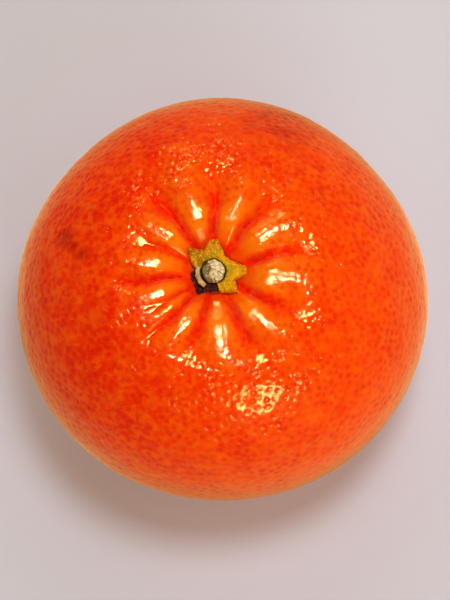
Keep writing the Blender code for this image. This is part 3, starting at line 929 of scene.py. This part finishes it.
def calyx_skin(settings):
    """Drying calyx: a leathery skin that goes from green to yellow, and is cream where it tore.

    Its bumps glint a little, and brighter glints are painted yellow on their tops. It is browner at its edges
    and in specks, and nearly black beside the stem, where that black is painted shade.
    """
    glint = {"IOR": 1.45, "Specular IOR Level": 0.12, "Specular Tint": linear("#ffd860")}
    made, tree, shader = new_material("Drying calyx skin", glint)
    # Greener patches, wrinkles, and specks of cork.
    clouds = ("patches", 1.5, 4.0, 0.7, 0.0), ("wrinkles", 0.4, 4.0, 0.7, 0.0), ("specks", 0.3, 2.0, 0.5, 0.0)
    read = read_surface(tree, ("edge", "torn", "inner", "browned"), clouds)
    shares = (
        ("yellow", "patches", 0.38, 0.55),
        ("core", "inner", 0.0, 0.6, 0.0, 0.8),
        ("patchy", "wrinkles", 0.62, 0.42, 0.3, 1.0),
        ("valley", "wrinkles", 0.47, 0.32, 0.0, 0.6),
        ("painted highlight", "wrinkles", 0.55, 0.68, 0.0, 0.8),
        ("worn", "wrinkles", 0.6, 0.4, 0.3, 0.9),
        ("cork", "specks", 0.6, 0.68),
        ("stripped", "torn", 0.0, 1.0),
        ("bark left", "patches", 0.5, 0.62, 0.0, 0.45),
        ("painted shade beside stem", "inner", 0.88, 1.0, 0.0, 0.85),
        ("rough", "wrinkles", 0.3, 0.7, 0.35, 0.6),
    )
    joined = (
        ("worn", "worn", "edge"),
        ("dried", "browned", "patchy"),
        ("cork", "cork", "edge"),
        ("bark left", "bark left", "stripped"),
    )
    layers = (
        ("yellow", settings.calyx_yellow),
        ("core", settings.calyx_green),
        ("worn", linear("#cc6808")),
        ("dried", linear("#9a5e0c")),
        ("valley", linear("#9a5c06")),
        # Bright yellow glints painted on the tops of the wrinkles.
        ("painted highlight", linear("#fcd030")),
        ("cork", linear("#7c3606")),
        ("stripped", linear("#d6c486")),
        ("bark left", linear("#7c5a1c")),
        # Painted shade, nearly black, on the calyx beside the stem.
        ("painted shade beside stem", linear("#2c1606")),
    )
    lay_colours(tree, shader, read, shares, joined, (("Base Color", settings.calyx_green, layers),))
    raise_surface(tree, shader, read["wrinkles"], 0.8, 0.08)
    return made


def broken_wood(settings):
    """Broken citrus twig: pale dry fibres, torn across.

    The fibres are matt and cream to white, olive where bark is left, and nearly black in the cracks.
    """
    made, tree, shader = new_material("Broken twig wood", {"IOR": 1.5, "Specular IOR Level": 0.2})
    read = read_surface(tree, ("crack", "chip"), (("patches", 0.6, 3.0, 0.6, 0.0),))
    # Fibres are 0.35 mm across, drawn about three times as coarse as real ones so that they show.
    lying = {"Rotation": (0.0, 0.0, math.radians(-20.0)), "Scale": (1.0, 3.0, 1.0)}
    along = add_node(tree, "ShaderNodeMapping", {"Vector": read["place"], **lying})
    pattern = {"Vector": along, "Scale": 1.0 / (1.0 * MM), "Detail": 4.0, "Roughness": 0.7}
    read["fibres"] = add_node(tree, "ShaderNodeTexNoise", pattern)
    shares = (
        ("cream", "fibres", 0.36, 0.5),
        ("white", "fibres", 0.5, 0.64, 0.0, 0.9),
        ("olive", "patches", 0.72, 0.46),
        ("chip", "chip", 0.0, 0.8, 0.08, 1.0),
        ("rough", "fibres", 0.3, 0.7, 0.6, 0.85),
    )
    layers = (
        ("cream", settings.dry_wood),
        ("white", linear("#fffae0")),
        ("olive", linear("#74601c")),
        ("crack", linear("#241006")),
    )
    joined = (("olive", "olive", "chip"),)
    lay_colours(tree, shader, read, shares, joined, (("Base Color", linear("#a08444"), layers),))
    raise_surface(tree, shader, read["fibres"], 0.8, 0.08)
    return made


def loft(loops):
    """A closed mesh through closed loops with the same number of points, its ends capped."""
    size = len(loops[0])
    shell = bmesh.new()
    rows = [[shell.verts.new(point) for point in loop] for loop in loops]
    for near, far in zip(rows, rows[1:]):
        for step in range(size):
            following = (step + 1) % size
            shell.faces.new((near[step], near[following], far[following], far[step]))
    shell.faces.new(rows[0][::-1])
    shell.faces.new(rows[-1])
    bmesh.ops.recalc_face_normals(shell, faces=shell.faces)
    return mesh_from(shell, "loft")


def wobbled_loft(loops, strength, wobbles, marks):
    """A loft through loops that random bumps raise, standing on the fruit, with its points' marks.

    A wobble is how wide and how high its bumps are.
    """
    points = np.concatenate(loops)
    bumps = 0.0
    for size, height in wobbles:
        bumps = bumps + np.array([noise.noise(Vector(point) / size) for point in points]) * height
    points[:, 2] += strength * bumps
    mesh = loft(standing(points).reshape(len(loops), -1, 3))
    for name, values in marks.items():
        store_on_points(mesh, name, np.concatenate(values))
    return mesh


def calyx_mesh():
    """The calyx's mesh, with its edge, torn rim, inner wall and browned lobes marked for its material."""
    gap_from, gap_to = CALYX_GAP
    turn = gap_from + 360.0 - gap_to
    longest = max(lobe[1] for lobe in CALYX_LOBES)
    at_stem, at_tip = CALYX_THICKNESS
    share = 0.5 - 0.5 * np.cos(np.linspace(0.0, math.pi, CALYX_STEPS_ACROSS + 1))
    both = np.concatenate([share, share[::-1]])
    rounding = np.sqrt(np.clip(1.0 - np.abs(2.0 * share - 1.0) ** CALYX_ROUNDING_POWER, 0.0, 1.0))
    loops, marks = [], {"edge": [], "torn": [], "inner": [], "browned": []}
    for station in range(CALYX_STATIONS + 1):
        degrees = gap_to + turn * station / CALYX_STATIONS
        angle = math.radians(degrees)
        around = Vector((math.cos(angle), math.sin(angle), RAGGED_DRAW))
        ragged = noise.noise(around * RAGGED_TURNS) * RAGGED_HEIGHT
        turned = degrees % 360.0
        torn = smooth_step(turned, *TORN_RIM_BEGINS) * (turned <= gap_from)
        reach = lobe_reach(np.array([angle]), CALYX_LOBES)[0] + ragged - TORN_RIM_SHRINKS * torn
        inner = CALYX_HOLE_RADIUS + TORN_RIM_OFF_STEM * torn
        radii = inner + (reach - inner) * share
        angles = np.full_like(radii, angle)
        bed = bed_height(radii, angles)
        folded = pleats(radii, angles)[0]
        offs = [turned_from(angle, lobe[0]) for lobe in CALYX_LOBES]
        midrib = sum(np.exp(-((radii * off / MIDRIB_BREADTH) ** 2)) for off in offs)
        browned = sum(
            amount * np.exp(-((math.degrees(off) / LOBE_BROWNING_BREADTH) ** 2))
            for off, amount in zip(offs, LOBE_BROWNING)
        )
        thick = at_stem - (at_stem - at_tip) * np.sqrt((radii - inner) / (longest - inner))
        thick = thick - TORN_RIM_LOWERING * torn + ragged * (RAGGED_UPWARDS + torn)
        thick = thick + MIDRIB_HEIGHT * midrib * smooth_step(radii, *MIDRIB_BEGINS)
        upper = bed + thick * (CALYX_EDGE_HEIGHT + (1.0 - CALYX_EDGE_HEIGHT) * rounding)
        upper[0] = bed[0] + CALYX_HOLE_EDGE_HEIGHT * thick[0]
        upper = upper - LOBE_DRAPE * folded
        lower = bed - GROWN_GAP - SUNK_EDGE - folded
        out = np.concatenate([radii, radii[::-1]])
        height = np.concatenate([lower, upper[::-1]])
        loops.append(np.stack([out * math.cos(angle), out * math.sin(angle), height], axis=1))
        marks["edge"].append(smooth_step(both, *CALYX_EDGE_ZONE) * (1.0 - torn))
        marks["torn"].append(np.full_like(both, torn))
        marks["inner"].append(1.0 - smooth_step(both, *CALYX_INNER_ZONE))
        marks["browned"].append(np.full_like(both, browned * (1.0 - torn)))
    return wobbled_loft(loops, 1.0, CALYX_WOBBLES, marks)


def stub_mesh():
    """The stub's mesh: a fluted side and a broken end, with its cracks and chip marked for its material."""
    around = np.arange(STUB_SIDES) * 2.0 * math.pi / STUB_SIDES
    flutes = sum(height * np.sin(count * around + start) for count, height, start in STUB_FLUTES)
    bed = float(bed_height(np.array([0.0]), np.array([0.0]))[0])
    rings = [(rise, 1.0) for rise in np.linspace(0.0, STUB_SHOULDER, STUB_SIDE_RINGS)]
    for turn in STUB_SHOULDER_TURNS:
        rise = STUB_SHOULDER + (1.0 - STUB_SHOULDER) * math.sin(turn)
        rings.append((rise, 1.0 - STUB_ROUNDED_OFF + STUB_ROUNDED_OFF * math.cos(turn)))
    rings += [(1.0, share) for share in np.linspace(*STUB_TOP_SHARES, STUB_TOP_RINGS)]
    fade_in, fade_out = STUB_CRACK_FADES
    loops, marks = [], {"crack": [], "chip": []}
    for rise, share in rings:
        radius = STUB_RADIUS * share * (1.0 + flutes * min(1.0, share))
        x, y = radius * np.cos(around), radius * np.sin(around)
        height = bed + rise * (STUB_HEIGHT + STUB_TOP_SLOPE * (x + y))
        upwards = smooth_step(rise, *STUB_BREAK_BEGINS)
        crack = np.zeros_like(around)
        for centre, start, end, width, depth in STUB_CRACKS:
            turned = turned_from(around, centre)
            bend = STUB_CRACK_BEND * math.sin(STUB_CRACK_TURNS * share + centre)
            off = (radius * np.sin(turned) + bend) / width
            along = radius * np.cos(turned) / STUB_RADIUS
            cut = np.exp(-off * off) * between(along, start, start + fade_in, end - fade_out, end)
            crack = np.maximum(crack, cut)
            height = height - depth * cut * upwards
        split = radius * np.cos(turned_from(around, STUB_CHIP_ANGLE))
        split = split + STUB_CHIP_BEND * np.sin(STUB_CHIP_TURNS * y / STUB_RADIUS)
        chip = smooth_step(split, *STUB_CHIP)
        height = height - STUB_CHIP_DEPTH * chip * upwards
        loops.append(np.stack([x, y, height], axis=1))
        marks["crack"].append(crack)
        marks["chip"].append(chip)
    heights = np.concatenate(loops)[:, 2]
    low, high = STUB_WOBBLES_BEGIN
    above = smooth_step(heights, bed + low * STUB_HEIGHT, bed + high * STUB_HEIGHT)
    return wobbled_loft(loops, above, STUB_WOBBLES, marks)


class MANDARIN_OT_peel(bpy.types.Operator):
    """Build the fruit with its pitted and pleated peel"""

    bl_idname = "mandarin.peel"
    bl_label = "Build peel"

    def execute(self, context):
        settings = context.scene.mandarin_peel
        finish = citrus_rind(settings)
        ball = bmesh.new()
        bmesh.ops.create_icosphere(ball, subdivisions=SPHERE_SUBDIVISIONS, radius=1.0)
        spacing = settings.gland_spacing / (0.5 * (HALF_WIDTH_X + RISE_TO_STEM))
        values = {
            "Least spacing": spacing,
            "Points tried": POINTS_TRIED_PER_GLAND / spacing**2,
            "Seed": settings.seed,
            "Finish": finish,
        }
        net = mesh_through_tree(mesh_from(ball, "sphere"), gland_net_tree(), values)
        glands = vertices_of(net)
        cut_finer(net)
        shape_peel(net, *nearest_glands(net, glands, spacing, settings.seed))
        values = {
            "Gland depth": settings.gland_depth,
            "Ripple height": settings.ripple_height,
            "Ripple width": RIPPLE_WIDTH,
            "Finish": finish,
            "Torn finish": dried_tissue(context.scene.mandarin_stem_end),
        }
        peel = mesh_through_tree(net, peel_relief_tree(), values)
        add_piece("fruit_peel", peel, "fruit")
        return {"FINISHED"}


class MANDARIN_OT_calyx(bpy.types.Operator):
    """Build the calyx with its torn rim"""

    bl_idname = "mandarin.calyx"
    bl_label = "Build calyx"

    def execute(self, context):
        mesh = calyx_mesh()
        mesh.materials.append(calyx_skin(context.scene.mandarin_stem_end))
        add_piece("calyx_star", mesh, "calyx")
        return {"FINISHED"}


class MANDARIN_OT_stub(bpy.types.Operator):
    """Build the broken stub of the stem"""

    bl_idname = "mandarin.stub"
    bl_label = "Build stub"

    def execute(self, context):
        mesh = stub_mesh()
        mesh.materials.append(broken_wood(context.scene.mandarin_stem_end))
        add_piece("broken_stub", mesh, "stem_stub")
        return {"FINISHED"}


def add_lamp(name, place, width, power):
    """A round lamp that faces the fruit's stem end."""
    light = bpy.data.lights.new(name, "AREA")
    light.shape = "DISK"
    light.size = width
    light.energy = power
    lamp = add_object(name, light)
    lamp.location = place
    towards = Vector((0.0, 0.0, AIM_HEIGHT)) - Vector(place)
    lamp.rotation_euler = towards.to_track_quat("-Z", "Y").to_euler()
    return lamp


class MANDARIN_OT_stage(bpy.types.Operator):
    """Build the floor, the lights and the camera"""

    bl_idname = "mandarin.stage"
    bl_label = "Build stage"

    def execute(self, context):
        scene = context.scene
        settings = scene.mandarin_stage
        grid = bmesh.new()
        bmesh.ops.create_grid(grid, x_segments=1, y_segments=1, size=0.5 * FLOOR_SIDE)
        mesh = mesh_from(grid, "floor")
        mesh.materials.append(new_material("Matt floor", {"Base Color": settings.floor, "Roughness": 0.9})[0])
        floor = add_object("floor", mesh)
        # The wax mirrors the room and not the floor, which would grey its lower side.
        floor.visible_glossy = False
        world = bpy.data.worlds.new("Soft studio")
        world.use_nodes = True
        background = world.node_tree.nodes["Background"]
        power = settings.key_power
        background.inputs["Color"].default_value = linear(ROOM_COLOUR)
        background.inputs["Strength"].default_value = ROOM_STRENGTH * power
        scene.world = world
        for name, place, width, brightness, colour in GLOSS_LAMPS:
            lamp = add_lamp(name, place, width, brightness * math.pi * width * width * power)
            lamp.data.color = linear(colour)[:3]
            lamp.visible_diffuse = False
        for name, place, width, watts in FILL_LAMPS:
            lamp = add_lamp(name, place, width, watts * power)
            lamp.visible_glossy = False
        camera = bpy.data.cameras.new("Camera")
        camera.lens = CAMERA_LENS
        camera.sensor_width = CAMERA_SENSOR
        width, height = PHOTO_SIZE
        camera.shift_x = (0.5 * width - FRUIT_MIDDLE[0]) / height
        camera.shift_y = (FRUIT_MIDDLE[1] - 0.5 * height) / height
        viewer = add_object("Camera", camera)
        raised = math.radians(CAMERA_ELEVATION)
        back = Vector((0.0, -math.cos(raised), math.sin(raised)))
        viewer.location = Vector((0.0, 0.0, AIM_HEIGHT)) + back * CAMERA_DISTANCE
        viewer.rotation_euler = (-back).to_track_quat("-Z", "Y").to_euler()
        scene.camera = viewer
        scene.view_settings.view_transform = "Standard"
        return {"FINISHED"}


class MANDARIN_PT_panel(bpy.types.Panel):
    """The mandarin's pieces, sizes and colours"""

    bl_idname = "MANDARIN_PT_panel"
    bl_label = "Mandarin"
    bl_space_type = "VIEW_3D"
    bl_region_type = "UI"
    bl_category = "Mandarin"

    def draw(self, context):
        scene = context.scene
        for group in (scene.mandarin_peel, scene.mandarin_stem_end, scene.mandarin_stage):
            box = self.layout.box()
            for name in group.bl_rna.properties.keys():
                if name not in ("rna_type", "name"):
                    box.prop(group, name)
        for operator in OPERATORS:
            self.layout.operator(operator.bl_idname)


OPERATORS = (MANDARIN_OT_peel, MANDARIN_OT_calyx, MANDARIN_OT_stub, MANDARIN_OT_stage)
GROUPS = {
    "mandarin_peel": PeelSettings,
    "mandarin_stem_end": StemEndSettings,
    "mandarin_stage": StageSettings,
}


def register():
    for kind in (*GROUPS.values(), *OPERATORS, MANDARIN_PT_panel):
        bpy.utils.register_class(kind)
    for name, kind in GROUPS.items():
        setattr(bpy.types.Scene, name, PointerProperty(type=kind))


def unregister():
    for name in GROUPS:
        delattr(bpy.types.Scene, name)
    for kind in reversed((*GROUPS.values(), *OPERATORS, MANDARIN_PT_panel)):
        bpy.utils.unregister_class(kind)


def main():
    register()
    bpy.ops.mandarin.peel()
    bpy.ops.mandarin.calyx()
    bpy.ops.mandarin.stub()
    bpy.ops.mandarin.stage()


if __name__ == "__main__":
    main()
